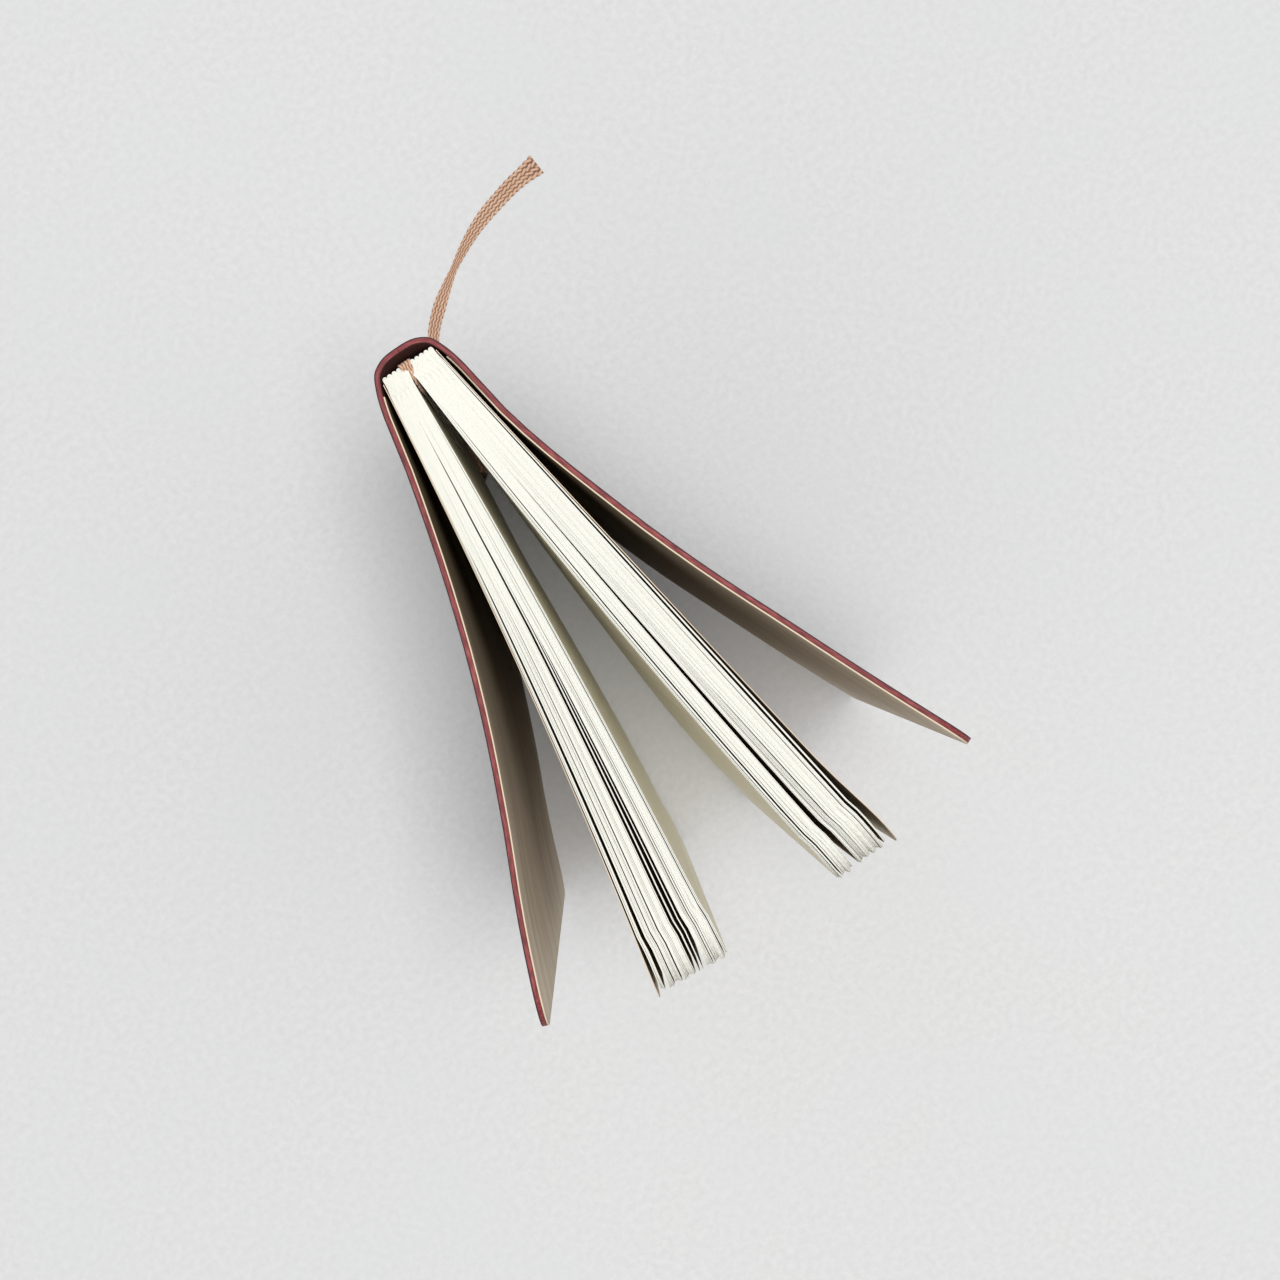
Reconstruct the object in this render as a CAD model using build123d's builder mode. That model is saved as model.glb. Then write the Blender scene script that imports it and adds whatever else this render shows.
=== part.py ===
from build123d import *
import os
from math import cos, radians, sin, sqrt

os.makedirs("parts", exist_ok=True)

# A soft-cover notebook stands on its tail edge, fanned open. Across is +X, towards the back cover,
# and depth runs from the back of the spine to the fore-edges, along -Y.

# Driving dimensions, in millimetres
page_height = 210.0
page_width = 131.4
cover_width = 129.6
corner_radius = 9.5
cut_past = 6.0
sweep_of_sheets = 30
cover_thickness = 1.1
pastedown_thickness = 0.3
flyleaf_thickness = 0.16
lining_thickness = 0.25
glue = 0.03
lining_margin = 6.0
signature_count = 11
fold_rise = 0.28
fold_depth = 1.5
gutter_depth = 2.7
hinge_depth = 1.5
hinge_gap = 0.3
shoulder_room = 0.35
spine_crown = 3.8
shoulder_share = 0.25
shoulder_rise = 0.41
pastedown_start = 2.6
flyleaf_start = 0.8
flyleaf_clear = 0.06

# The ribbon marker runs down the gutter and out under the tail
ribbon_width = 4.5
ribbon_thickness = 0.35
ribbon_clear = 0.1
ribbon_tab = 14.0
ribbon_pinch = 1.0
tail_lift = ribbon_thickness + ribbon_clear
head = tail_lift + page_height

# Each side of a half of the block leaves the spine at a place, with a lean and a bend
front_inner = (0.9, 0.055, 0.00026)
front_outer = (6.1, 0.12, 0.00037)
back_inner = (-0.5, 0.062, 0.00034)
back_outer = (5.6, 0.158, 0.00003)
front_flyleaf_spread = 0.35
back_flyleaf_spread = 1.2
front_fold_across = 3.2
back_fold_across = 3.0

# A slit between two bundles of leaves: share of the half, depth where it starts, width at its end
front_slits = [(0.07, 72, 0.45), (0.24, 52, 0.25), (0.38, 80, 0.7), (0.46, 16, 0.6),
               (0.68, 50, 0.25), (0.79, 54, 0.25), (0.91, 95, 0.8)]
back_slits = [(0.09, 38, 0.3), (0.4, 29, 1.25), (0.6, 86, 0.25), (0.87, 100, 0.2), (0.965, 72, 0.3)]

# Angle between each cover and the middle plane, at equal shares of the cover's width
front_lean = (14.0, 14.6, 15.9, 17.5, 18.9, 19.4)
back_lean = (11.6, 14.2, 16.0, 17.7, 18.8, 19.7)
front_hinge_lean = 12.0
back_hinge_lean = 10.5

# The middle of the footprint is the origin
back_y = (page_width + fold_depth - spine_crown + hinge_depth) / 2


def at(across, depth):
    """A place in plan."""
    return Vector(across, back_y - depth)


def across(line, depth):
    """How far a side of a half of the block is from the middle plane."""
    start, lean, bend = line
    return start + lean * depth + bend * depth**2


def reach(line, fold_across):
    """Depth where a leaf of full width ends."""
    depth = page_width
    for _ in range(8):
        depth = fold_depth + sqrt(page_width**2 - (across(line, depth) - fold_across) ** 2)
    return depth


def between(inner, outer, share):
    """The side that lies at a share of the way from the gutter to the cover."""
    return tuple(a + (b - a) * share for a, b in zip(inner, outer))


def side_points(side, line, start, end, shift=lambda depth: 0.0):
    """Points of a leaf's side, evenly spaced in depth."""
    depths = [start + (end - start) * i / 6 for i in range(7)]
    return [at(side * (across(line, d) + shift(d)), d) for d in depths]


def beside(line, side, gap, start=0.0):
    """Points that run along a line at an even distance, towards the leaves."""
    places = [start + (1 - start) * i / 13 for i in range(14)]
    return [line @ u + (line % u).rotate(Axis.Z, -90 * side) * gap for u in places]


def strip(first, second):
    """A face between two long curves with square ends."""
    with BuildLine() as outline:
        Spline(*first)
        Line(first[-1], second[-1])
        Spline(*reversed(second))
        Line(second[0], first[0])
    make_face(outline.edges())


front_end = reach(front_outer, front_fold_across)
back_end = reach(back_outer, back_fold_across)


def fold_edges():
    """The backs of the signatures, folded and sewn, as a row of bumps."""
    first = at(-across(front_outer, fold_depth) + flyleaf_thickness + flyleaf_clear, fold_depth)
    last = at(across(back_outer, fold_depth) - flyleaf_thickness - flyleaf_clear, fold_depth)
    step = (last - first) / signature_count
    for i in range(signature_count):
        left = first + step * i
        ThreePointArc(left, left + step / 2 + Vector(0, fold_rise), left + step)
    return first, last


def block_side(side, outer, spread, end):
    """The outermost leaf of a half, which stands a little off the flyleaf."""
    room = flyleaf_thickness + flyleaf_clear
    spreads = lambda d: -room - spread * ((d - fold_depth) / page_width) ** 2
    return side_points(side, outer, fold_depth, end, spreads)


def slit(side, inner, outer, share, start, width):
    """A wedge of air between two bundles, from its start past the fore-edge."""
    middle = between(inner, outer, share)
    end = page_width + cut_past
    near, far = ([at(side * (across(middle, d) + sign * width / 2 * (d - start) / (page_width - start)), d)
                  for d in (start + (end - start) * i / 4 for i in range(5))] for sign in (-1, 1))
    with BuildLine() as wedge:
        Spline(*near)
        Line(near[-1], far[-1])
        Spline(*reversed(far))
    make_face(wedge.edges(), mode=Mode.SUBTRACT)


def round_corners(side, pivot, width):
    """Round the head and tail corners at a fore-edge, square to each sheet, by turning about its hinge."""
    corner = width - corner_radius
    past = width + cut_past
    middle = corner_radius * sin(radians(45))
    for end_height, step in ((tail_lift, 1), (head, -1)):
        level = end_height + step * corner_radius
        with BuildSketch(Plane(origin=(pivot.X, pivot.Y, 0), x_dir=(0, -1, 0), z_dir=(-1, 0, 0))) as spandrel:
            with BuildLine():
                Polyline((corner, end_height), (corner, end_height - step), (past, end_height - step),
                         (past, level), (width, level))
                ThreePointArc((width, level), (corner + middle, level - step * middle), (corner, end_height))
            make_face()
        upright = Axis((pivot.X, pivot.Y, 0), (0, 0, side))
        revolve(spandrel.sketch, axis=upright, revolution_arc=sweep_of_sheets, mode=Mode.SUBTRACT)


front_fold = at(-front_fold_across, fold_depth)
back_fold = at(back_fold_across, fold_depth)

# Sewn signatures of paper in two halves, joined at the back, with the gutter open between them
with BuildPart() as text_block:
    with BuildSketch(Plane.XY.offset(tail_lift)):
        with BuildLine():
            first_fold, last_fold = fold_edges()
            front_out = block_side(-1, front_outer, front_flyleaf_spread, front_end)
            front_in = side_points(-1, front_inner, gutter_depth, reach(front_inner, front_fold_across))
            back_in = side_points(1, back_inner, gutter_depth, reach(back_inner, back_fold_across))
            back_out = block_side(1, back_outer, back_flyleaf_spread, back_end)
            Spline(*front_out)
            Spline(*reversed(front_in))
            Line(front_in[0], back_in[0])
            Spline(*back_in)
            Spline(*reversed(back_out))
            RadiusArc(front_out[-1], front_in[-1], -page_width)
            RadiusArc(back_in[-1], back_out[-1], -page_width)
        make_face()
        for share, start, width in front_slits:
            slit(-1, front_inner, front_outer, share, start, width)
        for share, start, width in back_slits:
            slit(1, back_inner, back_outer, share, start, width)
    extrude(amount=page_height)
    round_corners(-1, front_fold, page_width)
    round_corners(1, back_fold, page_width)
text_block.part.label = "text_block"
export_step(text_block.part, "parts/text_block.step")

# Strip glued over the folds, short of the head and the tail
with BuildPart() as spine_lining:
    with BuildSketch(Plane.XY.offset(tail_lift + lining_margin)):
        with BuildLine():
            first_fold, last_fold = fold_edges()
            behind = Vector(0, fold_rise + lining_thickness)
            Line(last_fold, last_fold + behind)
            Line(last_fold + behind, first_fold + behind)
            Line(first_fold + behind, first_fold)
        make_face()
    extrude(amount=page_height - 2 * lining_margin)
spine_lining.part.label = "spine_lining"
export_step(spine_lining.part, "parts/spine_lining.step")

# The free half of each endpaper
with BuildPart() as front_flyleaf:
    with BuildSketch(Plane.XY.offset(tail_lift)):
        strip(side_points(-1, front_outer, fold_depth + flyleaf_start, front_end),
              side_points(-1, front_outer, fold_depth + flyleaf_start, front_end, lambda d: -flyleaf_thickness))
    extrude(amount=page_height)
    round_corners(-1, front_fold, page_width)
front_flyleaf.part.label = "front_flyleaf"
export_step(front_flyleaf.part, "parts/front_flyleaf.step")

with BuildPart() as back_flyleaf:
    with BuildSketch(Plane.XY.offset(tail_lift)):
        strip(side_points(1, back_outer, fold_depth + flyleaf_start, back_end),
              side_points(1, back_outer, fold_depth + flyleaf_start, back_end, lambda d: -flyleaf_thickness))
    extrude(amount=page_height)
    round_corners(1, back_fold, page_width)
back_flyleaf.part.label = "back_flyleaf"
export_step(back_flyleaf.part, "parts/back_flyleaf.step")


def hinge(side, outer):
    """The bend between spine and cover, on the outer face."""
    return at(side * (across(outer, hinge_depth) + shoulder_room + cover_thickness), hinge_depth)


def cover_line(side, outer, hinge_lean, leans):
    """The outer face of a cover in plan, from the bend to the fore-edge."""
    bend = hinge(side, outer)
    away = Vector(side * sin(radians(hinge_lean)), -cos(radians(hinge_lean)))
    points = [bend + away * hinge_gap / 2]
    for i, lean in enumerate(leans):
        length = cover_width * (i + 1) / len(leans)
        points.append(bend + Vector(side * sin(radians(lean)), -cos(radians(lean))) * length)
    return Spline(*points, tangents=[away, points[-1] - points[-2]], mode=Mode.PRIVATE)


def cover_panel(side, line):
    """One cover, a soft sheet with two rounded corners."""
    with BuildSketch(Plane.XY.offset(tail_lift)) as plan:
        strip(beside(line, side, 0), beside(line, side, cover_thickness))
    extrude(plan.sketch, amount=page_height)


def pastedown_panel(side, line):
    """The half of an endpaper that is glued inside the cover."""
    start = pastedown_start / cover_width
    with BuildSketch(Plane.XY.offset(tail_lift)) as plan:
        strip(beside(line, side, cover_thickness + glue, start),
              beside(line, side, cover_thickness + glue + pastedown_thickness, start))
    extrude(plan.sketch, amount=page_height)


front_line = cover_line(-1, front_outer, front_hinge_lean, front_lean)
back_line = cover_line(1, back_outer, back_hinge_lean, back_lean)

with BuildPart() as front_cover:
    cover_panel(-1, front_line)
    round_corners(-1, hinge(-1, front_outer), cover_width)
front_cover.part.label = "front_cover"
export_step(front_cover.part, "parts/front_cover.step")

with BuildPart() as back_cover:
    cover_panel(1, back_line)
    round_corners(1, hinge(1, back_outer), cover_width)
back_cover.part.label = "back_cover"
export_step(back_cover.part, "parts/back_cover.step")

with BuildPart() as front_pastedown:
    pastedown_panel(-1, front_line)
    round_corners(-1, hinge(-1, front_outer), cover_width)
front_pastedown.part.label = "front_pastedown"
export_step(front_pastedown.part, "parts/front_pastedown.step")

with BuildPart() as back_pastedown:
    pastedown_panel(1, back_line)
    round_corners(1, hinge(1, back_outer), cover_width)
back_pastedown.part.label = "back_pastedown"
export_step(back_pastedown.part, "parts/back_pastedown.step")

# The spine is a loose arch of the same sheet, hollow behind the block
front_bend = hinge(-1, front_outer)
back_bend = hinge(1, back_outer)
rise_front = Vector(sin(radians(front_hinge_lean)), cos(radians(front_hinge_lean)))
rise_back = Vector(-sin(radians(back_hinge_lean)), cos(radians(back_hinge_lean)))
crown = (front_bend + back_bend) / 2 + Vector(0, spine_crown)
spine_line = Spline(
    front_bend + rise_front * hinge_gap / 2,
    front_bend + (crown - front_bend) * shoulder_share + Vector(0, spine_crown * shoulder_rise),
    crown,
    back_bend + (crown - back_bend) * shoulder_share + Vector(0, spine_crown * shoulder_rise),
    back_bend + rise_back * hinge_gap / 2,
    tangents=[rise_front, -rise_back],
    mode=Mode.PRIVATE,
)

with BuildPart() as spine_cover:
    with BuildSketch(Plane.XY.offset(tail_lift)):
        strip(beside(spine_line, 1, 0), beside(spine_line, 1, cover_thickness))
    extrude(amount=page_height)
spine_cover.part.label = "spine_cover"
export_step(spine_cover.part, "parts/spine_cover.step")

# Ribbon route in the gutter as depth and share of the head's height, and on the floor as across and depth
gutter_route = [(5.3, 1.0), (5.3, 0.81), (6.6, 0.6), (5.6, 0.39), (6.8, 0.19), (6.8, 0.0)]
floor_route = [(-0.7, 8.6), (-0.6, 1.5), (1.3, -10.4), (7.0, -24.4), (15.2, -33.6), (24.0, -38.8),
               (33.0, -43.8), (44.8, -48.2), (59.2, -49.0)]
gutter_across = -0.68


def soft_radii(points):
    """The largest arc that each corner's runs leave room for."""
    radii = []
    for a, b, c in zip(points, points[1:], points[2:]):
        turn = (b - a).get_angle(c - b)
        radii.append(0.45 * min((b - a).length, (c - b).length) / sin(radians(turn / 2)) * cos(radians(turn / 2)))
    return radii


def ribbon_outline(points):
    """A face of ribbon width along a route with rounded corners."""
    radii = soft_radii(points)
    with BuildLine() as route:
        FilletPolyline(*points, radius=radii)
    trace(route.edges(), line_width=ribbon_width)
    length = sum(edge.length for edge in route.edges())
    print("ribbon radii", [round(r) for r in radii], "length", round(length, 1))
    return length


with BuildPart() as ribbon_marker:
    # On the floor
    with BuildSketch():
        floor_run = ribbon_outline([at(x, d) for x, d in floor_route])
    extrude(amount=ribbon_thickness)
    # Down the gutter
    gutter_plane = Plane(origin=(gutter_across - ribbon_thickness / 2, back_y, 0), x_dir=(0, -1, 0), z_dir=(-1, 0, 0))
    with BuildSketch(gutter_plane):
        gutter_run = ribbon_outline([Vector(d, head * share) for d, share in gutter_route])
    extrude(amount=-ribbon_thickness)
    # Over the head, pinched into the gutter
    tab_depth = fold_depth - fold_rise - lining_thickness
    with BuildSketch(Plane.XY.offset(head)):
        with BuildLine():
            Polyline(
                at(gutter_across - ribbon_width / 2, tab_depth - ribbon_thickness),
                at(gutter_across - ribbon_width / 2, tab_depth),
                at(gutter_across - ribbon_pinch / 2, gutter_depth + ribbon_pinch),
                at(gutter_across + ribbon_pinch / 2, gutter_depth + ribbon_pinch),
                at(gutter_across + ribbon_width / 2, tab_depth),
                at(gutter_across + ribbon_width / 2, tab_depth - ribbon_thickness),
                close=True,
            )
        make_face()
    extrude(amount=ribbon_thickness)
    # Tab glued behind the lining
    with BuildSketch(Plane.XY.offset(head)):
        with Locations(at(gutter_across, tab_depth - ribbon_thickness / 2)):
            Rectangle(ribbon_width, ribbon_thickness)
    extrude(amount=-ribbon_tab)
ribbon_marker.part.label = "ribbon_marker"
export_step(ribbon_marker.part, "parts/ribbon_marker.step")
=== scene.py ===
# %% [markdown]
# A soft-cover notebook, stood on its tail and fanned open.
# The imported model gives the true sizes. This scene dresses it: every leaf, the leather cover, the
# endpapers and the plaited ribbon. First the frame is loaded, and its solids are kept with their places
# baked in.

# %% Load the frame
from math import cos, pi, radians, sin

import bpy
import numpy as np
from mathutils import Matrix, Vector


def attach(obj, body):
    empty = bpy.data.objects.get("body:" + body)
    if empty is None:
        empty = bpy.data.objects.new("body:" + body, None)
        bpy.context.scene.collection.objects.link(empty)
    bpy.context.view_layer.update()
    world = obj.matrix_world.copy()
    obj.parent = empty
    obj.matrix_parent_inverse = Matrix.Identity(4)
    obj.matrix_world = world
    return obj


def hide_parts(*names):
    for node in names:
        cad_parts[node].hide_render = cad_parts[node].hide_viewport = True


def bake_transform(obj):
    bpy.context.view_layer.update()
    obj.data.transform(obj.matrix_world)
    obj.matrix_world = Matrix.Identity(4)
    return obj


MM = 0.001
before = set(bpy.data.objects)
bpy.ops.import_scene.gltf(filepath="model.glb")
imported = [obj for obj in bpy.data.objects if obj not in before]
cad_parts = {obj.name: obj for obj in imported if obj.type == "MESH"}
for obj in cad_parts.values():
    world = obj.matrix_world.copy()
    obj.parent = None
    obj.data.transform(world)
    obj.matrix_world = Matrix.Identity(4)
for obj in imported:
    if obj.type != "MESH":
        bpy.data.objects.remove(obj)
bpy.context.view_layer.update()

# %% [markdown]
# Operators act on whatever is selected, and the frame comes in selected. So everything is deselected
# first, and a small helper picks the one piece to work on. Another applies a modifier by its name.

# %% Selection helpers
bpy.ops.object.select_all(action="DESELECT")


def pick(piece):
    """Select one piece alone and make it the active one."""
    bpy.ops.object.select_all(action="DESELECT")
    piece.select_set(True)
    bpy.context.view_layer.objects.active = piece
    return piece


def apply(piece, kind, **settings):
    """Add a modifier with these settings and apply it."""
    modifier = piece.modifiers.new(kind.title(), kind)
    for name, value in settings.items():
        setattr(modifier, name, value)
    pick(piece)
    bpy.ops.object.modifier_apply(modifier=modifier.name)


# %% [markdown]
# The photograph looks straight down on the head of the book. The spine points up and to the left, so
# the camera hangs over the book, near the middle of the leaves, and is turned about the upright. The
# picture is a part cut from a wider view, so the lens is shifted: uprights run towards a point that lies
# up and to the left of the middle of the picture.

# %% Camera
camera_height = 677 * MM
camera_place = Vector((3.85 * MM, 9.2 * MM, camera_height))
picture_right = Vector((0.831, -0.556, 0)).normalized()
picture_up = Vector((0.556, 0.831, 0)).normalized()
camera_data = bpy.data.cameras.new("camera")
camera_data.lens = 67.9
camera_data.sensor_width = 36
camera_data.clip_start = 0.01
camera_data.shift_x, camera_data.shift_y = 0.0455, -0.0415
camera = bpy.data.objects.new("camera", camera_data)
bpy.context.scene.collection.objects.link(camera)
turned = Matrix((picture_right, picture_up, Vector((0, 0, 1)))).transposed()
camera.matrix_world = Matrix.Translation(camera_place) @ turned.to_4x4()
bpy.context.scene.camera = camera
print("camera looks down from", round(camera_height / MM), "mm")

# %% [markdown]
# The ribbon comes next, because its route has to fit what the camera sees. It is glued behind the
# spine lining, folds over the head, runs down the gutter between the two halves and out under the
# tail. Its route is a NURBS line, which stays smooth however few points it has. All depths are
# measured from the back of the spine towards the fore-edge. The route is written as depth and height
# down to the tail, and as across and depth on the floor. Down the gutter it drifts a little sideways.

# %% Ribbon route
back_y = 65.3
tail = 0.45
head = 210.45
gutter_across = -0.68
gutter_drift = 2.0
drift_start = head - 12
ribbon_width = 4.5
ribbon_thickness = 0.35
ribbon_step = 0.35
floor_level = 0.18
gutter_route = [
    (0.78, head - 14), (0.78, head - 3), (0.85, head + 0.2), (1.9, head + 0.25), (3.3, head - 0.4),
    (4.7, head - 1.3), (5.3, head - 4), (5.3, head - 12), (6.0, head - 40), (8.0, head - 84),
    (10.6, head - 128), (13.4, head - 170), (15.2, 20), (15.4, 5), (15.2, 0.8),
]
floor_route = [
    (-1.3, 12), (-1.1, 8), (-0.3, -1.5), (2.2, -13), (7.4, -25), (14.4, -31.5), (21.0, -36.3),
    (27.3, -40.2), (33.4, -43.4), (39.4, -45.7), (45.6, -47.3), (52.0, -48.8), (59.3, -49.4),
]


def at(across, depth, height):
    """A place in the frame, in metres, from millimetres."""
    return Vector((across, back_y - depth, height)) * MM


def nurbs_points(points):
    """The points of a smooth open line that these control points pull."""
    line = bpy.data.curves.new("route", "CURVE")
    line.dimensions = "3D"
    line.resolution_u = 24
    spline = line.splines.new("NURBS")
    spline.points.add(len(points) - 1)
    for place, point in zip(spline.points, points):
        place.co = (*point, 1)
    spline.order_u = 3
    spline.use_endpoint_u = True
    route = bpy.data.objects.new("route", line)
    bpy.context.scene.collection.objects.link(route)
    bpy.context.view_layer.update()
    mesh = bpy.data.meshes.new_from_object(route)
    found = np.array([v.co for v in mesh.vertices])
    bpy.data.objects.remove(route)
    return found


def evenly(points, step):
    """The same line with points an even step apart."""
    length = np.concatenate([[0], np.cumsum(np.linalg.norm(np.diff(points, axis=0), axis=1))])
    stations = np.linspace(0, length[-1], int(length[-1] / step) + 1)
    return np.stack([np.interp(stations, length, points[:, i]) for i in range(3)], axis=1)


ribbon_control = [at(gutter_across - gutter_drift * max(0, drift_start - z) / head, d, z)
                  for d, z in gutter_route]
ribbon_control += [at(x, d, floor_level) for x, d in floor_route]
ribbon_path = evenly(nurbs_points(ribbon_control), ribbon_step * MM)
travelled = np.arange(len(ribbon_path)) * ribbon_step
ribbon_length = travelled[-1]
print("ribbon", round(ribbon_length), "mm long")

# %% [markdown]
# A ribbon is a plait over a thin strip: four cords side by side, each of two plies that pass over and
# under each other. Two waves, shifted by a half, give both plies: one sideways and one up and down.
# The ribbon lies flat behind the spine and on the floor, and stands on edge in the gutter, so it turns
# by a quarter on the way in and on the way out. It is bunched where it is pinched at the head and
# narrow where it was creased, and it spreads where it was cut. These widths are written as shares of
# the full width, first at distances from the glued start and then at distances from the cut end.

# %% Ribbon mesh
column_count = 4
ply_count = 2
plait_pitch = 3.7
ply_width = 0.8
ply_thickness = 0.19
ply_sides = 6
ply_swing = 0.24
column_shift = 0.25
strip_half_width = 0.45 * ribbon_width
strip_drop = 0.9
to_floor = travelled[np.argmax(ribbon_path[:, 2] < 1.2 * MM)]
start_shares = [(0, 0.8), (14, 0.6), (17, 0.36), (22, 0.8), (to_floor, 1)]
end_shares = [(78, 0.8), (60, 0.68), (49, 0.82), (38, 0.42), (29, 0.68), (20, 0.92), (12, 1.0),
              (5, 1.1), (0, 1.45)]


def unit(vectors):
    """Vectors of length one."""
    return vectors / np.linalg.norm(vectors, axis=1, keepdims=True)


def ribbon_frame():
    """At each point, the ways that the ribbon is wide and thick, its share of both and its upper side."""
    run = unit(np.gradient(ribbon_path, axis=0))
    on_floor = travelled > to_floor
    sideways = np.stack([-run[:, 1], run[:, 0], 0 * run[:, 0]], axis=1)
    level = unit(np.where(on_floor[:, None], sideways, [-1.0, 0, 0]))
    edge = np.interp(travelled, [15, 18, to_floor - 0.2, to_floor + 1.2], [0, pi / 2, pi / 2, 0])
    wide = np.cos(edge)[:, None] * level + np.sin(edge)[:, None] * np.cross(run, level)
    shares = start_shares + [(ribbon_length - distance, share) for distance, share in end_shares]
    share = np.interp(travelled, *zip(*shares))
    plump = np.interp(travelled, [13, 17, 22, 30], [1, 1.9, 1.9, 1])
    face = np.interp(travelled, [30, 50], [-1, 1])
    return wide, np.cross(run, wide), share, plump, face


def plait_mesh(name):
    """One mesh of the strip and all its plies. What would reach below the floor is pressed flat on it."""
    wide, thick, share, plump, face = ribbon_frame()
    column_width = ribbon_width / column_count
    lift = ribbon_thickness / 2 - ply_thickness / 2
    turn = np.arange(ply_sides) * 2 * pi / ply_sides
    rings = len(ribbon_path)
    vertices, faces, lifts = [], [], []
    for side in (-1, 1):
        edge = ribbon_path + (wide * (side * strip_half_width * share)[:, None]
                              - thick * (face * lift * strip_drop)[:, None]) * MM
        for level in (-1, 1):
            vertices += [tuple(v) for v in edge + thick * (level * ply_thickness / 4 * MM)]
            lifts += [0.0] * rings
    for i in range(rings - 1):
        for a, b in ((0, 1), (1, 3), (3, 2), (2, 0)):
            faces.append((a * rings + i, b * rings + i, b * rings + i + 1, a * rings + i + 1))
    faces.append((0, 2 * rings, 3 * rings, rings))
    faces.append(tuple(corner + rings - 1 for corner in (0, rings, 3 * rings, 2 * rings)))
    for column in range(column_count):
        middle = (column - (column_count - 1) / 2) * column_width
        for ply in range(ply_count):
            phase = 2 * pi * (travelled / plait_pitch + ply / ply_count + column * column_shift)
            across = (middle + (-1) ** column * ply_swing * np.sin(phase)) * share
            height = lift * np.cos(phase) * plump * face
            centre = ribbon_path + (wide * across[:, None] + thick * height[:, None]) * MM
            half_wide = ply_width / 2 * np.clip(share, 0, 1.1) * MM
            half_thick = ply_thickness / 2 * plump * MM
            ring = centre[:, None] + (wide * half_wide[:, None])[:, None] * np.cos(turn)[None, :, None]
            ring = ring + (thick * half_thick[:, None])[:, None] * np.sin(turn)[None, :, None]
            first = len(vertices)
            vertices += [tuple(v) for v in ring.reshape(-1, 3)]
            lifts += list(np.repeat(0.5 + 0.5 * np.cos(phase), ply_sides))
            for i in range(rings - 1):
                for side in range(ply_sides):
                    a, b = first + i * ply_sides + side, first + i * ply_sides + (side + 1) % ply_sides
                    faces.append((a, b, b + ply_sides, a + ply_sides))
            last = first + (rings - 1) * ply_sides
            faces.append(tuple(first + side for side in reversed(range(ply_sides))))
            faces.append(tuple(last + side for side in range(ply_sides)))
    pressed = [(x, y, max(z, 0)) for x, y, z in vertices]
    mesh = bpy.data.meshes.new(name)
    mesh.from_pydata(pressed, [], faces)
    mesh.attributes.new("lift", "FLOAT", "POINT").data.foreach_set("value", lifts)
    piece = bpy.data.objects.new(name, mesh)
    bpy.context.scene.collection.objects.link(piece)
    pick(piece)
    bpy.ops.object.mode_set(mode="EDIT")
    bpy.ops.mesh.select_all(action="SELECT")
    bpy.ops.mesh.normals_make_consistent(inside=False)
    bpy.ops.object.mode_set(mode="OBJECT")
    bpy.ops.object.shade_smooth()
    return piece


ribbon = plait_mesh("ribbon")
print("ribbon has", len(ribbon.data.polygons), "faces")

# %% [markdown]
# Everything else in a book starts as a flat sheet. A helper makes one upright: a plane is added,
# stretched to size in edit mode, its free corners are rounded by a vertex bevel, and it is cut into
# columns where it will have to bend. Solidify gives it a thickness. The flat place of every point is
# kept as an attribute, so that grain and fibres stay on the sheet after it is bent. Another attribute
# marks the cut faces all round.

# %% Flat sheets
corner_radius = 9.5
corner_steps = 7


def corner_columns(end):
    """Where the steps of a rounded corner lie along a sheet."""
    return [end - corner_radius * (1 - sin(radians(90 * i / corner_steps))) for i in range(corner_steps)]


def places(piece):
    """All the points of a mesh as an array, in millimetres."""
    found = np.empty(len(piece.data.vertices) * 3)
    piece.data.vertices.foreach_get("co", found)
    return found.reshape(-1, 3) / MM


def place(piece, points):
    """Put the points of a mesh at these places, in millimetres."""
    piece.data.vertices.foreach_set("co", (points * MM).ravel())
    piece.data.update()


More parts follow.
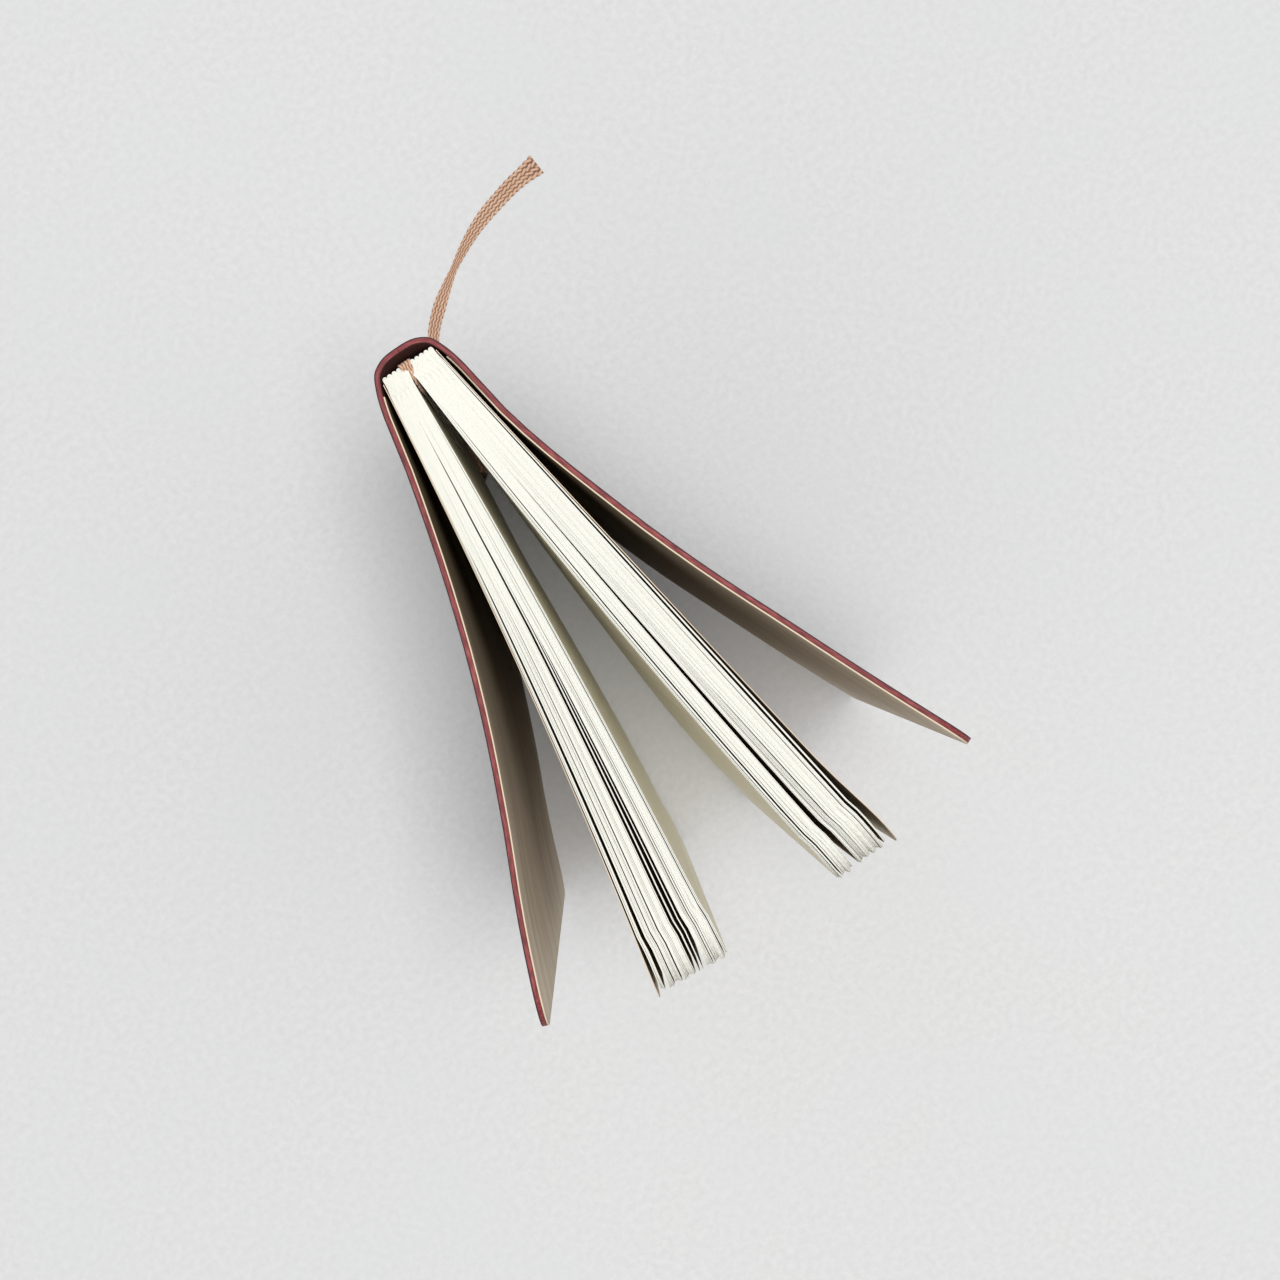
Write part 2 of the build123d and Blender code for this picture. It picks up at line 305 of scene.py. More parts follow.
def flat_sheet(name, start, end, columns, thickness, outer=0.0, rounded=("end",)):
    """A flat upright sheet from start to end along X, whose outer face is at y = outer."""
    bpy.ops.object.select_all(action="DESELECT")
    bpy.ops.mesh.primitive_plane_add(size=1, location=(0, 0, 0), rotation=(pi / 2, 0, 0))
    piece = bpy.context.object
    piece.name = piece.data.name = name
    bpy.ops.object.transform_apply(location=False, rotation=True, scale=False)
    bpy.ops.object.mode_set(mode="EDIT")
    bpy.ops.mesh.select_all(action="SELECT")
    bpy.ops.transform.resize(value=((end - start) * MM, 1, (head - tail) * MM))
    bpy.ops.transform.translate(value=((start + end) / 2 * MM, 0, (head + tail) / 2 * MM))
    bpy.ops.mesh.select_all(action="DESELECT")
    bpy.ops.mesh.select_mode(type="VERT")
    bpy.ops.object.mode_set(mode="OBJECT")
    for vertex in piece.data.vertices:
        at_start, at_end = vertex.co.x < (start + 1) * MM, vertex.co.x > (end - 1) * MM
        vertex.select = bool((at_start and "start" in rounded) or (at_end and "end" in rounded))
    bpy.ops.object.mode_set(mode="EDIT")
    bpy.ops.mesh.bevel(offset=corner_radius * MM, segments=corner_steps, affect="VERTICES")
    for column in columns:
        bpy.ops.mesh.select_all(action="SELECT")
        bpy.ops.mesh.bisect(plane_co=(column * MM, 0, 0), plane_no=(1, 0, 0), threshold=1e-6)
    bpy.ops.object.mode_set(mode="OBJECT")
    apply(piece, "SOLIDIFY", thickness=thickness * MM, offset=0)
    flat = places(piece)
    flat[:, 1] += outer - thickness / 2
    place(piece, flat)
    attribute = piece.data.attributes.new("flat", "FLOAT_VECTOR", "POINT")
    attribute.data.foreach_set("vector", (flat * MM).astype(np.float32).ravel())
    layer = piece.data.attributes.new("layer", "FLOAT", "POINT")
    layer.data.foreach_set("value", ((outer - flat[:, 1]) / thickness).astype(np.float32))
    rim = piece.data.attributes.new("rim", "FLOAT", "FACE")
    rim.data.foreach_set("value", [float(abs(face.normal.y) < 0.5) for face in piece.data.polygons])
    return piece


def lay_along(piece, across, depth, zero=0.0, thickness=None):
    """Bend a flat sheet along a line in plan. Its outer face is on the left of the way the line runs."""
    route = np.stack([across, back_y - depth], axis=1)
    length = np.concatenate([[0], np.cumsum(np.linalg.norm(np.diff(route, axis=0), axis=1))]) - zero
    run = unit(np.gradient(route, axis=0))
    flat = places(piece)
    u, out, height = flat.T
    x, y, run_x, run_y = (np.interp(u, length, values) for values in (*route.T, *run.T))
    if thickness is not None:
        out = out * np.interp(u, length, thickness)
    place(piece, np.stack([x - run_y * out, y + run_x * out, height], axis=1))


def lean(piece, from_spine, amounts):
    """Lean a sheet towards -X from its head down, by these amounts at these distances from the spine."""
    points = places(piece)
    fall = (head - points[:, 2]) / (head - tail)
    points[:, 0] -= np.interp(back_y - points[:, 1], from_spine, amounts) * fall
    place(piece, points)


def copy_of(piece, name):
    """A copy with its own mesh."""
    new = piece.copy()
    new.data = piece.data.copy()
    new.name = new.data.name = name
    bpy.context.scene.collection.objects.link(new)
    return new


# %% [markdown]
# The block is two halves. Each half starts at the spine as a solid stack and spreads towards the
# fore-edge. Its inner and outer side are curves of three numbers: a start, a lean and a bend. Between
# them the leaves lie in bundles, and air has come in between the bundles. Each bundle is written as its
# number of leaves and its width out by the fore-edge, then the gap after it: the depth where the gap
# starts, its width near the fore-edge and its width at the very edge. Inside a bundle, fine cracks open
# at random. Close to the fore-edge the whole block has a small kink.

# %% The two halves in plan
rng = np.random.default_rng(12)
page_width = 131.4
spread_depth = 116.0
fold_depth = 1.75
fold_first = -5.995
fold_last = 5.62
signature_leaves = 10
flyleaf_room = 0.22
stack_depth = 8
crack_share = 0.4
kink_width = 0.4
kink_depth = 118.5
kink_run = 4

front_half = {
    "inner": (0.9, 0.055, 0.00026),
    "outer": (6.1, 0.12, 0.00037),
    "spread": 0.35,
    "bundles": [
        (2, 0.39, 12, 0.2, 0.25), (11, 1.74, 32, 0.14, 0.12), (2, 0.29, 70, 0.2, 0.2),
        (7, 1.16, 60, 0.5, 0.9), (1, 0.2, 45, 0.8, 0.5), (2, 0.25, 16, 0.6, 0.65),
        (11, 2.32, 50, 0.25, 0.3), (6, 1.2, 54, 0.2, 0.25), (5, 1.06, 40, 0.65, 0.9), (3, 0.68, 90, 0, 0),
    ],
}
back_half = {
    "inner": (-0.5, 0.062, 0.00034),
    "outer": (5.6, 0.158, 0.00003),
    "spread": 1.2,
    "bundles": [
        (3, 0.39, 9, 0.14, 0.12), (3, 0.3, 14, 0.35, 0.3), (2, 0.3, 60, 0.1, 0.1),
        (14, 2.13, 29, 0.95, 1.4), (5, 0.7, 80, 0.15, 0.12), (6, 0.87, 86, 0.25, 0.05),
        (20, 2.9, 50, 0.16, 0.16), (5, 0.6, 4, 0.55, 0.6), (2, 0.3, 90, 0, 0),
    ],
}
depths = np.concatenate([np.linspace(fold_depth, 6, 30), np.linspace(6.5, 134.5, 129)])


def side_line(half, which):
    """How far a side of a half is from the middle plane, along all depths."""
    start, lean, bend = half[which]
    return start + lean * depths + bend * depths**2


def smooth_step(x):
    """From 0 to 1 with soft ends."""
    x = np.clip(x, 0, 1)
    return x * x * (3 - 2 * x)


def gap_width(start, near, edge):
    """A gap's width along all depths. A wide gap opens evenly, a narrow one at once."""
    power = 0.93 if near > 0.7 else 0.45
    opened = np.clip((depths - start) / (spread_depth - start), 0, 1) ** power * near
    past = np.clip((depths - spread_depth) / (page_width - spread_depth), 0, None)
    return opened + (edge - near) * past


def leaf_lines(half):
    """From the gutter out, each leaf's distance from the middle plane and its room, along all depths."""
    room = flyleaf_room + half["spread"] * (np.clip(depths - 1.5, 0, None) / page_width) ** 2
    inner, outer = side_line(half, "inner"), side_line(half, "outer") - room
    gaps = [gap_width(*bundle[2:]) for bundle in half["bundles"]]
    white = outer - inner - sum(gaps)
    leaves = sum(bundle[0] for bundle in half["bundles"])
    width = sum(bundle[1] for bundle in half["bundles"])
    settled = smooth_step((depths - stack_depth) / (spread_depth - stack_depth))
    lines, place_now = [], inner
    for bundle, gap in zip(half["bundles"], gaps):
        share = bundle[0] / leaves * (1 - settled) + bundle[1] / width * settled
        cracks = []
        for _ in range(bundle[0] - 1):
            crack = gap_width(rng.uniform(12, 60), rng.uniform(0.02, 0.07), 0.05)
            cracks.append(crack * (rng.random() < crack_share))
        cracks.append(0 * depths)
        pitch = (white * share - sum(cracks)) / bundle[0]
        for crack in cracks:
            lines.append((place_now + pitch / 2, pitch))
            place_now = place_now + pitch + crack
        place_now = place_now + gap
    return lines


kink = kink_width * smooth_step((depths - kink_depth) / kink_run)
leaves = [(-line, pitch) for line, pitch in reversed(leaf_lines(front_half))] + leaf_lines(back_half)
leaves = [(line + kink, pitch) for line, pitch in leaves]
print("leaves", len(leaves))

# %% [markdown]
# A leaf isn't a loose page. Two leaves are one sheet, folded once, and five such sheets lie inside each
# other to make a signature, which is sewn through its fold. So the piece to model is one flat double
# sheet. It is modelled once, copied, and folded: each copy is laid along its own line in plan, in along
# one leaf, round the fold and out along the other. The Curve modifier does the same, but it reads its
# curve too coarsely for sheets a tenth of a millimetre apart, so a helper places the points. No leaf is
# trimmed quite like the next, and all lean a little sideways towards the tail: these sways are written
# as distances from the spine and the lean there. The sheets that face the open gutter are marked.

# %% Fold the signatures
tightness = 0.97
looseness = (0.9, 0.97)
trim_wander = 0.11
head_wander = 0.05
fold_columns = [0.1, 0.25, 0.45, 0.7, 1.0, 1.5, 2.5, 4.0, 6.5, 10, 15]
leaf_columns = fold_columns + list(np.arange(21, 120, 7.0)) + corner_columns(page_width)
double_sheet = flat_sheet("double_sheet", -page_width, page_width,
                          [-c for c in leaf_columns] + [0] + leaf_columns, 1.0, 0.5, ("start", "end"))
double_sheet.data.attributes.new("open", "FLOAT", "POINT")
leaf_step = (fold_last - fold_first) / len(leaves)
first_back = sum(bundle[0] for bundle in front_half["bundles"])
front_sway = ([8, 40, 100], [0, 1.4, 0])
back_sway = ([8, 100], [0, 4.4])
settle_run = 4
loose_start = 4
loose_run = 45


def near_fold(number):
    """A leaf's line, brought to its place in the row of folds at the back."""
    line, pitch = leaves[number]
    settled = smooth_step((depths - fold_depth) / settle_run)
    at_back = fold_first + leaf_step * (number + 0.5)
    return at_back * (1 - settled) + line * settled, leaf_step * (1 - settled) + pitch * settled


def fold_sheet(sheet, first, second):
    """Lay a flat double sheet along two leaves and round the fold between them."""
    (line_a, pitch_a), (line_b, pitch_b) = near_fold(first), near_fold(second)
    radius = (line_b[0] - line_a[0]) / 2
    turn = np.linspace(-pi / 2, pi / 2, 15)[1:-1]
    across = np.concatenate([line_a[::-1], line_a[0] + radius * (1 + np.sin(turn)), line_b])
    depth = np.concatenate([depths[::-1], fold_depth - radius * np.cos(turn), depths])
    pitch = np.concatenate([pitch_a[::-1], np.full(len(turn), leaf_step), pitch_b])
    slant = np.abs(unit(np.gradient(np.stack([across, depth], axis=1), axis=0))[:, 1])
    slant[depth <= fold_depth] = 1
    loose = np.where(np.arange(len(depth)) < len(depths), rng.uniform(*looseness), rng.uniform(*looseness))
    fill = tightness + (loose - tightness) * smooth_step((depth - loose_start) / loose_run)
    to_fold = np.sum(np.hypot(np.diff(line_a), np.diff(depths))) + radius * pi / 2
    trimmed = 1 + rng.normal(0, trim_wander) / page_width
    low = 1 - abs(rng.normal(0, head_wander)) / (head - tail)
    flat = places(sheet)
    flat[:, 0] *= trimmed
    flat[:, 2] = tail + (flat[:, 2] - tail) * low
    place(sheet, flat)
    lay_along(sheet, across, depth, to_fold, pitch * slant * fill)
    lean(sheet, *(front_sway if second < first_back else back_sway))
    if first_back - 1 in (first, second) or first_back in (first, second):
        sheet.data.attributes["open"].data.foreach_set("value", np.ones(len(sheet.data.vertices)))


def signature(name, start):
    """Nested double sheets, joined into one piece."""
    sheets = []
    for nested in range(signature_leaves // 2):
        sheet = copy_of(double_sheet, name)
        fold_sheet(sheet, start + nested, start + signature_leaves - 1 - nested)
        sheets.append(sheet)
    pick(sheets[0])
    for sheet in sheets:
        sheet.select_set(True)
    bpy.ops.object.join()
    sheets[0].name = sheets[0].data.name = name
    return sheets[0]


signatures = []
for number in range(len(leaves) // signature_leaves):
    front = number < 5
    name = f"front_signature_{number + 1}" if front else f"back_signature_{number - 4}"
    signatures.append(signature(name, number * signature_leaves))
bpy.data.objects.remove(double_sheet)
print("signatures", len(signatures), "of", len(signatures[0].data.polygons), "faces")

# %% [markdown]
# The cover is one soft sheet that runs from one fore-edge round the spine to the other. A hardback has a
# case of cloth and board, but this is a limp leather-like sheet, cut square, so its red core shows at
# the edge. Its line in plan goes through a few places: points at even steps along
# each cover, where the lean is known, and an arch of three over the spine. A Bezier line with automatic
# handles passes through them all. The sheet is made in two, which meet at the top of the arch, one for
# each half of the cover, which in the real book turns at its own hinge.

# %% Cover line
cover_width = 129.6
cover_thickness = 1.1
hinge_gap = 0.3
spine_crown = 3.8
hinge_depth = 1.5
front_hinge = (-7.7308, hinge_depth)
back_hinge = (7.2871, hinge_depth)
front_lean = (14.0, 14.6, 15.9, 17.5, 18.9, 19.4)
back_lean = (11.6, 14.2, 16.0, 17.7, 18.8, 19.7)


def cover_places(hinge, side, leans):
    """Places along a cover, from the hinge out."""
    found = []
    for i, lean in enumerate(leans):
        reach = cover_width * (i + 1) / len(leans)
        found.append((hinge[0] + side * sin(radians(lean)) * reach, hinge[1] + cos(radians(lean)) * reach))
    return found


def line_through(points):
    """A dense smooth line through a few places in plan, as two arrays: across and depth."""
    line = bpy.data.curves.new("line", "CURVE")
    line.dimensions = "2D"
    line.resolution_u = 40
    spline = line.splines.new("BEZIER")
    spline.bezier_points.add(len(points) - 1)
    for knot, (across, depth) in zip(spline.bezier_points, points):
        knot.co = (across * MM, depth * MM, 0)
        knot.handle_left_type = knot.handle_right_type = "AUTO"
    drawn = bpy.data.objects.new("line", line)
    bpy.context.scene.collection.objects.link(drawn)
    bpy.context.view_layer.update()
    mesh = bpy.data.meshes.new_from_object(drawn)
    found = np.array([v.co for v in mesh.vertices]) / MM
    bpy.data.objects.remove(drawn)
    return found[:, 0], found[:, 1]


crown = ((front_hinge[0] + back_hinge[0]) / 2, hinge_depth - spine_crown)
shoulders = [(hinge[0] + (crown[0] - hinge[0]) * 0.25, hinge_depth - spine_crown * 0.66)
             for hinge in (front_hinge, back_hinge)]
line_points = list(reversed(cover_places(front_hinge, -1, front_lean)))
line_points += [front_hinge, shoulders[0], crown, shoulders[1], back_hinge]
line_points += cover_places(back_hinge, 1, back_lean)
cover_across, cover_depth = line_through(line_points)
cover_steps = np.hypot(np.diff(cover_across), np.diff(cover_depth))
cover_length = np.concatenate([[0], np.cumsum(cover_steps)])


def length_at(point):
    """Length along the cover line at a place on it."""
    return cover_length[np.argmin(np.hypot(cover_across - point[0], cover_depth - point[1]))]


crown_at, front_bend_at, back_bend_at = (length_at(p) for p in (crown, front_hinge, back_hinge))
whole = cover_length[-1]
print("cover sheet", round(whole, 1), "mm, spine arch", round(back_bend_at - front_bend_at, 1), "mm")

# %% [markdown]
# The cover's two sheets are bent along that line, with close columns round the spine and wide ones where
# the cover is nearly flat. A narrow bevel takes the sharpness off the cut edges. The pastedowns are bent
# along the same line, a film of glue inside the cover, and stop just before the hinge. The back one is
# cut back at the head there. The front cover leans inwards a little towards the tail.

# %% Cover and pastedowns
pastedown_start = 2.6
pastedown_thickness = 0.3
glue = 0.04
cut_back = 2.2
cut_start = 8
cut_run = 10
cover_sway = ([8, 120], [0, -2.2])
bend_columns = list(np.arange(0.4, 16, 0.5))
far_columns = list(np.arange(18, 118, 6.0))
edge_columns = corner_columns(cover_width)


def cover_piece(name, start, end, bend_at, outward, thickness, outer, rounded):
    """A flat sheet of the cover, laid along its part of the cover line."""
    steps = [bend_at + outward * c for c in far_columns + edge_columns]
    steps += [bend_at + outward * (c - 9) for c in bend_columns]
    columns = [c for c in steps if start + 0.01 < c < end - 0.01]
    piece = flat_sheet(name, start, end, columns, thickness, outer, rounded)
    apply(piece, "BEVEL", width=0.1 * thickness * MM, segments=2,
          limit_method="ANGLE", angle_limit=radians(60))
    lay_along(piece, cover_across, cover_depth)
    return piece


inside = -(cover_thickness + glue)
cover_front = cover_piece("cover_front", 0, crown_at, front_bend_at, -1,
                          cover_thickness, 0, ("start",))
cover_back = cover_piece("cover_back", crown_at, whole, back_bend_at, 1,
                         cover_thickness, 0, ("end",))
pastedown_front = cover_piece("pastedown_front", 0, front_bend_at - pastedown_start, front_bend_at, -1,
                              pastedown_thickness, inside, ("start",))
pastedown_back = cover_piece("pastedown_back", back_bend_at + pastedown_start, whole, back_bend_at, 1,
                             pastedown_thickness, inside, ("end",))
trimmed = places(pastedown_back)
from_spine = back_y - trimmed[:, 1]
at_head = trimmed[:, 2] > head - corner_radius
trimmed[:, 2] -= cut_back * (1 - smooth_step((from_spine - cut_start) / cut_run)) * at_head
place(pastedown_back, trimmed)
for piece in (cover_front, pastedown_front):
    lean(piece, *cover_sway)
for piece in (cover_front, cover_back, pastedown_front, pastedown_back):
    pick(piece)
    bpy.ops.object.shade_smooth_by_angle(angle=radians(40))
    print(piece.name, len(piece.data.polygons), "faces")

# %% [markdown]
# Each endpaper is one sheet too: half of it is glued inside the cover, and the free half, the flyleaf,
# stands between the cover and the first signature. The front one hugs the block, the back one stands
# off it and has its upper corner bent out. How near each point lies to the spine is kept as an attribute,
# which the paper's finish uses for painted shade towards the spine.

# %% Flyleaves
flyleaf_thickness = 0.16
flyleaf_start = 2.3
flyleaf_columns = list(np.arange(3, 118, 5.0)) + corner_columns(page_width)
flyleaf_sway = ([8, 100], [0, 4.0])
corner_bend = 1.0
corner_start = 108
corner_run = 20
corner_height = 32
# Where the painted shade towards the spine ends, and how far it fades.
spine_shade_end_y = -55
spine_shade_run = 85


def flyleaf(name, half, side):
    """The free half of an endpaper, laid along the outer side of a half."""
    line = side * side_line(half, "outer")
    past_start = depths >= flyleaf_start
    across, depth = line[past_start], depths[past_start]
    if side > 0:
        piece = flat_sheet(name, 0, page_width, flyleaf_columns, flyleaf_thickness)
        lay_along(piece, across, depth)
        lean(piece, *flyleaf_sway)
        points = places(piece)
        outwards = smooth_step((back_y - points[:, 1] - corner_start) / corner_run)
        upwards = smooth_step((points[:, 2] - head + corner_height) / corner_height)
        points[:, 0] += corner_bend * outwards * upwards
        place(piece, points)
        return piece
    piece = flat_sheet(name, -page_width, 0, [-c for c in flyleaf_columns],
                       flyleaf_thickness, 0, ("start",))
    across, depth = across[::-1], depth[::-1]
    lay_along(piece, across, depth, np.sum(np.hypot(np.diff(across), np.diff(depth))))
    lean(piece, *front_sway)
    return piece


flyleaf_front = flyleaf("flyleaf_front", front_half, -1)
flyleaf_back = flyleaf("flyleaf_back", back_half, 1)
for piece in (pastedown_front, pastedown_back, flyleaf_front, flyleaf_back):
    near_spine = piece.data.attributes.new("near_spine", "FLOAT", "POINT")
    nearness = np.clip((places(piece)[:, 1] - spine_shade_end_y) / spine_shade_run, 0, 1)
    near_spine.data.foreach_set("value", nearness.astype(np.float32))
print("flyleaves", round(page_width, 1), "mm wide")

# %% [markdown]
# Every finish is a small graph of nodes on the Principled shader. Helpers add a node with its settings,
# join two sockets, and read a pattern at the flat place of each point, so that it follows the sheet.
# Colours are given as they look on a screen and turned into the linear values that the shader wants.

# %% Material helpers


def screen(red, green, blue):
    """A colour from screen values of 0 to 255."""
    return (*(((c / 255 + 0.055) / 1.055) ** 2.4 for c in (red, green, blue)), 1)


def finish(name, roughness=0.8, specular=0.3):
    """A new material: its node tree and its shader."""
    made = bpy.data.materials.new(name)
    made.use_nodes = True
    shader = made.node_tree.nodes["Principled BSDF"]
    shader.inputs["Roughness"].default_value = roughness
    shader.inputs["Specular IOR Level"].default_value = specular
    return made, made.node_tree, shader


def node(tree, kind, inputs=(), **settings):
    """A node with its settings and the values of its inputs."""
    made = tree.nodes.new("ShaderNode" + kind)
    for name, value in settings.items():
        setattr(made, name, value)
    for name, value in dict(inputs).items():
        if isinstance(value, bpy.types.NodeSocket):
            tree.links.new(value, made.inputs[name])
        else:
            made.inputs[name].default_value = value
    return made


def ramp(tree, value, *stops):
    """A colour ramp over a value: each stop is a place from 0 to 1 and a colour."""
    made = node(tree, "ValToRGB", {"Fac": value})
    elements = made.color_ramp.elements
    elements[0].position, elements[0].color = stops[0]
    elements[1].position, elements[1].color = stops[-1]
    for position, colour in stops[1:-1]:
        elements.new(position).color = colour
    return made.outputs["Color"]


def rise(tree, value, low, high, top=1):
    """A mask that rises from nothing to the top between two values."""
    return ramp(tree, value, (low, (0, 0, 0, 1)), (high, (top, top, top, 1)))


def noise(tree, where, scale, detail=4, stretch=None):
    """A noise pattern at a place, stretched along the axes if asked."""
    if stretch:
        where = node(tree, "Mapping", {"Vector": where, "Scale": stretch}).outputs["Vector"]
    return node(tree, "TexNoise", {"Vector": where, "Scale": scale, "Detail": detail}).outputs["Fac"]


def mixed(tree, factor, first, second):
    """Two colours mixed by a factor."""
    made = tree.nodes.new("ShaderNodeMix")
    made.data_type = "RGBA"
    for socket, value in ((made.inputs[0], factor), (made.inputs[6], first), (made.inputs[7], second)):
        if isinstance(value, bpy.types.NodeSocket):
            tree.links.new(value, socket)
        else:
            socket.default_value = value
    return made.outputs[2]


def bump(tree, shader, height, strength, distance):
    """Raise the surface by a pattern, with the depth given in millimetres."""
    made = node(tree, "Bump", {"Height": height, "Strength": strength, "Distance": distance * MM})
    tree.links.new(made.outputs["Normal"], shader.inputs["Normal"])


# %% [markdown]
# The cover is a bonded leather sheet. Its outer skin is thin, dark and finely grained. The core is red
# fibre, which only shows where the sheet is cut, and its inner face is a bare brown-red backing. The
# layer that each point lies in tells which of the three it is.

# %% Cover leather


def cover_finish():
    """Bonded leather: a skin, a core and a backing."""
    made, tree, shader = finish("cover_leather", roughness=0.62, specular=0.35)
    flat = node(tree, "Attribute", attribute_name="flat").outputs["Vector"]
    layer = node(tree, "Attribute", attribute_name="layer").outputs["Fac"]
    grain = node(tree, "TexVoronoi", {"Vector": flat, "Scale": 1100.0}).outputs["Distance"]
    cloud = noise(tree, flat, 40)
    fibre = noise(tree, flat, 900, 6, (0.45, 3.0, 3.0))
    streak = noise(tree, flat, 240, 3, (0.25, 6.0, 1.0))
    skin = mixed(tree, cloud, screen(44, 24, 24), screen(60, 32, 30))
    core = ramp(tree, fibre, (0.3, screen(92, 32, 37)), (0.52, screen(138, 58, 60)),
                (0.72, screen(168, 90, 88)))
    core = mixed(tree, rise(tree, streak, 0.35, 0.7, 0.55), core, screen(100, 38, 42))
    backing = mixed(tree, cloud, screen(86, 54, 50), screen(104, 68, 62))
    is_core = rise(tree, layer, 0.18, 0.25)
    is_back = rise(tree, layer, 0.985, 0.999)
    colour = mixed(tree, is_core, skin, core)
    colour = mixed(tree, is_back, colour, backing)
    tree.links.new(colour, shader.inputs["Base Color"])
    height = mixed(tree, is_core, grain, fibre)
    bump(tree, shader, height, 0.35, 0.12)
    return made


# %% [markdown]
# Paper is matt, and light that falls between two leaves turns warmer each time it bounces. The leaves
# are a cream white, and their cut edges look whiter. Where two leaves nearly touch, the light dies away
# in thousands of bounces. A render stops after a few and leaves such gaps too pale, so painted shade, a
# browner colour, goes on the faces that don't look into the gutter. The endpapers are heavier and
# streaked along their grain, with painted shade darkening them towards the spine. The lining is kraft.

# %% Papers


def paper_finish(name, light, dark, cut, streaky=0.0, spine_shade_colour=None, between=None):
    """Paper of two tones, with another colour on its cut edges, and painted shade near the spine or between
    leaves.
    """
    made, tree, shader = finish(name, roughness=0.88, specular=0.12)
    flat = node(tree, "Attribute", attribute_name="flat").outputs["Vector"]
    pulp = noise(tree, flat, 900, 5)
    streak = noise(tree, flat, 150, 5, (0.12, 1.0, 1.0))
    pattern = mixed(tree, streaky, pulp, streak)
    colour = mixed(tree, rise(tree, pattern, 0.36, 0.64), dark, light)
    if spine_shade_colour:
        # Painted shade: the paper darkens towards the spine, where the wedge between cover and block lies
        # in shadow.
        near_spine = node(tree, "Attribute", attribute_name="near_spine").outputs["Fac"]
        colour = mixed(tree, near_spine, colour, spine_shade_colour)
    if between:
        # Painted shade: faces that don't look into the gutter get the browner colour, for light that dies
        # away between leaves.
        is_open = node(tree, "Attribute", attribute_name="open").outputs["Fac"]
        colour = mixed(tree, is_open, between, colour)
    rim = node(tree, "Attribute", attribute_name="rim").outputs["Fac"]
    colour = mixed(tree, rim, colour, cut)
    tree.links.new(colour, shader.inputs["Base Color"])
    bump(tree, shader, pattern, 0.4, 0.04)
    return made


# %% [markdown]
# The ribbon is plaited from a soft tan thread. Its tone shifts a little from place to place, and painted
# shade darkens it low down between the plies. Then each piece gets its finish.

# %% Ribbon thread


def ribbon_finish():
    """Tan thread, with painted shade where a ply dips under the next."""
    made, tree, shader = finish("ribbon_weave", roughness=0.7, specular=0.2)
    where = node(tree, "TexCoord").outputs["Object"]
    thread = noise(tree, where, 2600, 3)
    cloud = noise(tree, where, 120, 3)
    lift = node(tree, "Attribute", attribute_name="lift").outputs["Fac"]
    colour = ramp(tree, thread, (0.3, screen(196, 152, 124)), (0.55, screen(226, 186, 156)),
                  (0.75, screen(242, 212, 186)))
    colour = mixed(tree, rise(tree, cloud, 0.4, 0.7, 0.5), colour, screen(206, 162, 132))
    # Painted shade: low parts of the plies and the strip beneath them are darker.
    colour = mixed(tree, rise(tree, lift, 0.1, 0.7), screen(132, 96, 78), colour)
    tree.links.new(colour, shader.inputs["Base Color"])
    shader.inputs["Sheen Weight"].default_value = 0.25
    bump(tree, shader, thread, 0.4, 0.05)
    return made


def give(piece, made):
    """Put one material on a piece."""
    piece.data.materials.clear()
    piece.data.materials.append(made)


cover_leather = cover_finish()
# The page paper's browner colour between leaves is painted shade.
page_paper = paper_finish("page_paper", screen(249, 244, 228), screen(246, 241, 221), screen(237, 236, 226),
                          between=screen(152, 132, 92))
# The endpaper's darker colour near the spine is painted shade.
endpaper = paper_finish("endpaper", screen(222, 211, 194), screen(196, 183, 164), screen(222, 202, 176),
                        streaky=0.7, spine_shade_colour=screen(126, 110, 86))
lining_paper = paper_finish("lining_paper", screen(196, 178, 148), screen(180, 160, 130),
                            screen(196, 178, 148))
for piece in (cover_front, cover_back):
    give(piece, cover_leather)
for piece in signatures:
    give(piece, page_paper)
for piece in (pastedown_front, pastedown_back, flyleaf_front, flyleaf_back):
    give(piece, endpaper)
give(ribbon, ribbon_finish())
give(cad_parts["spine_lining"], lining_paper)
print("finishes given to", len(signatures) + 8, "pieces")

# %% [markdown]
# The floor is a pale sheet with a faint tooth. Light comes softly from all around, so that the shadows
# stay pale. One wide lamp hangs high, almost straight above, and brings light down into the open book.

# %% Floor, light and world
bpy.ops.object.select_all(action="DESELECT")
bpy.ops.mesh.primitive_plane_add(size=6, location=(0, 0, 0))
floor = bpy.context.object
floor.name = "floor"


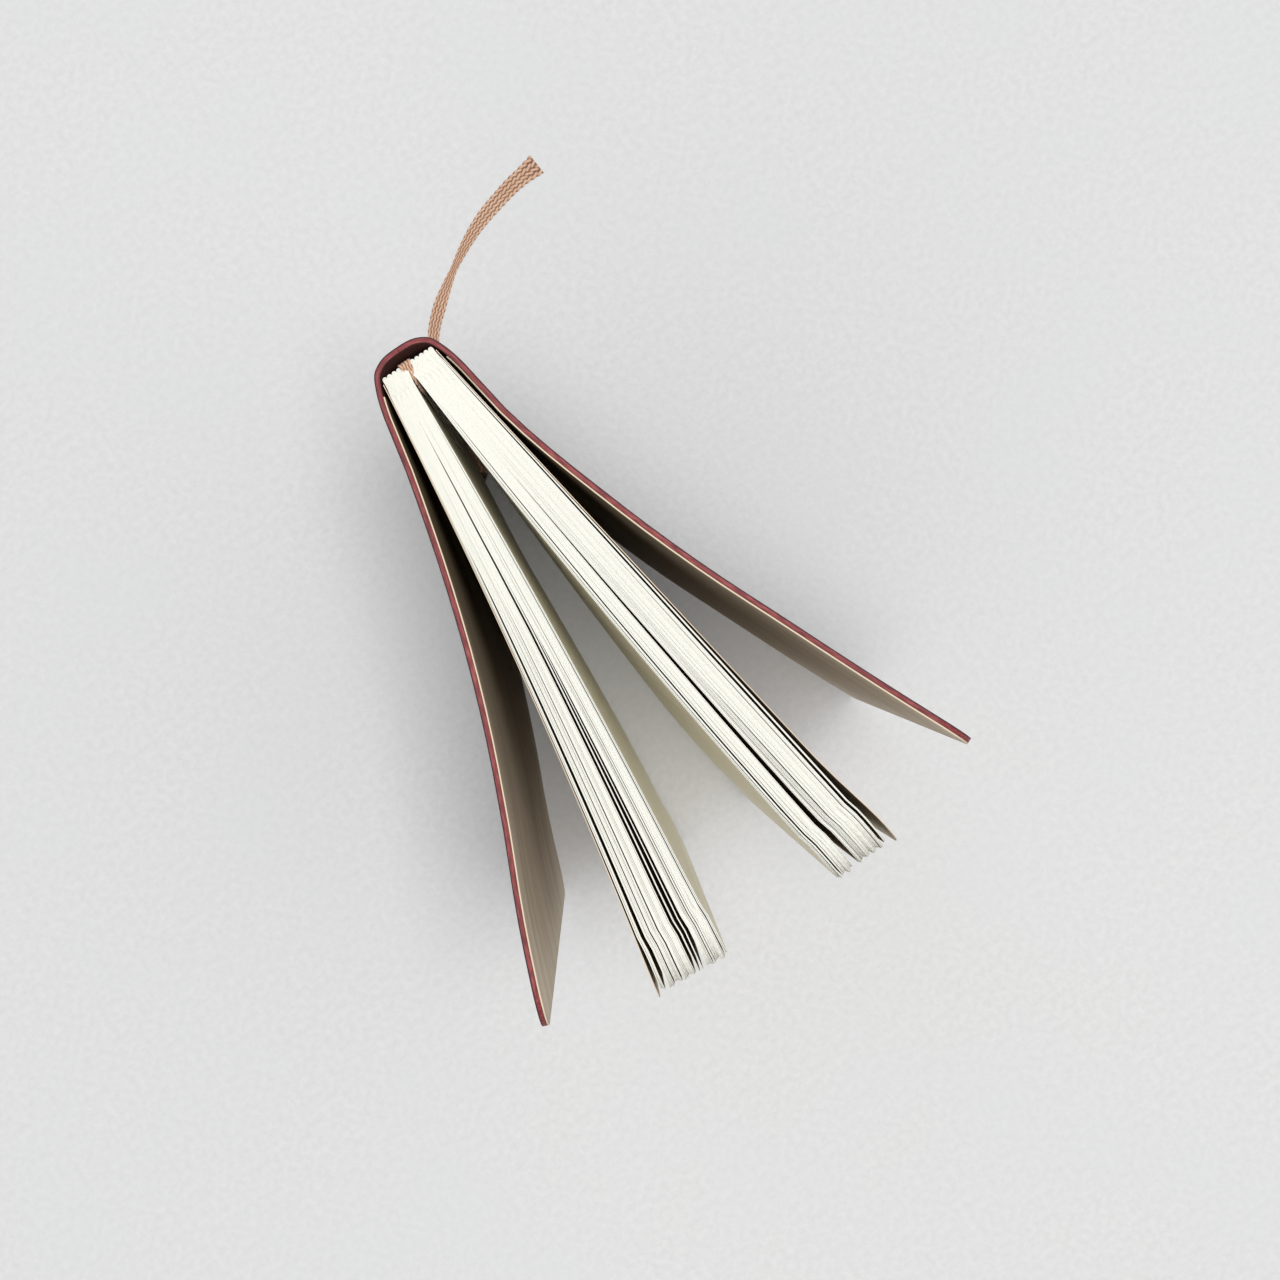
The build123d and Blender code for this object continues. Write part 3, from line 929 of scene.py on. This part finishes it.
def floor_finish():
    """Matt card of two greys with a fine tooth."""
    made, tree, shader = finish("floor_card", roughness=0.9, specular=0.1)
    where = node(tree, "TexCoord").outputs["Object"]
    tooth = noise(tree, where, 520, 3)
    broad = noise(tree, where, 22, 3)
    shade = ramp(tree, tooth, (0.3, screen(218, 218, 218)), (0.7, screen(226, 226, 226)))
    shade = mixed(tree, rise(tree, broad, 0.4, 0.7, 0.5), shade, screen(221, 222, 223))
    tree.links.new(shade, shader.inputs["Base Color"])
    bump(tree, shader, tooth, 0.6, 0.3)
    return made


give(floor, floor_finish())

light = bpy.data.lights.new("above", "AREA")
light.size = 0.5
light.energy = 25
lamp = bpy.data.objects.new("above", light)
bpy.context.scene.collection.objects.link(lamp)
lamp.location = picture_right * 0.09 + Vector((0, 0, 2.0))
lamp.rotation_euler = (Vector((0, 0, 0.1)) - lamp.location).to_track_quat("-Z", "Y").to_euler()
world = bpy.data.worlds.new("world")
bpy.context.scene.world = world
world.use_nodes = True
world.node_tree.nodes["Background"].inputs["Color"].default_value = (1.0, 1.0, 1.0, 1)
world.node_tree.nodes["Background"].inputs["Strength"].default_value = 0.46
bpy.context.scene.view_settings.view_transform = "Standard"
print("lamp hangs at", round(lamp.location.z, 1), "m")

# %% [markdown]
# Last, the block, its flyleaves and the ribbon are given to the spine, which carries them. Each half of
# the cover and the endpaper glued to it stay where they are, with their places baked into their meshes.
# The pieces then stand for the plain solids, which stay hidden.

# %% Carry the pieces
spine_body = "spine_and_pages"
for piece in signatures + [flyleaf_front, flyleaf_back, ribbon]:
    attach(piece, spine_body)
for piece, body, hinge in ((cover_front, "front_cover_side", front_hinge),
                           (pastedown_front, "front_cover_side", front_hinge),
                           (cover_back, "back_cover_side", back_hinge),
                           (pastedown_back, "back_cover_side", back_hinge)):
    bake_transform(piece)
for piece in signatures:
    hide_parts("text_block")
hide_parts("front_flyleaf")
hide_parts("back_flyleaf")
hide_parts("front_cover", "spine_cover")
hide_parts("back_cover", "spine_cover")
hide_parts("front_pastedown")
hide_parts("back_pastedown")
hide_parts("ribbon_marker")
print("carried", len(signatures) + 7, "pieces")
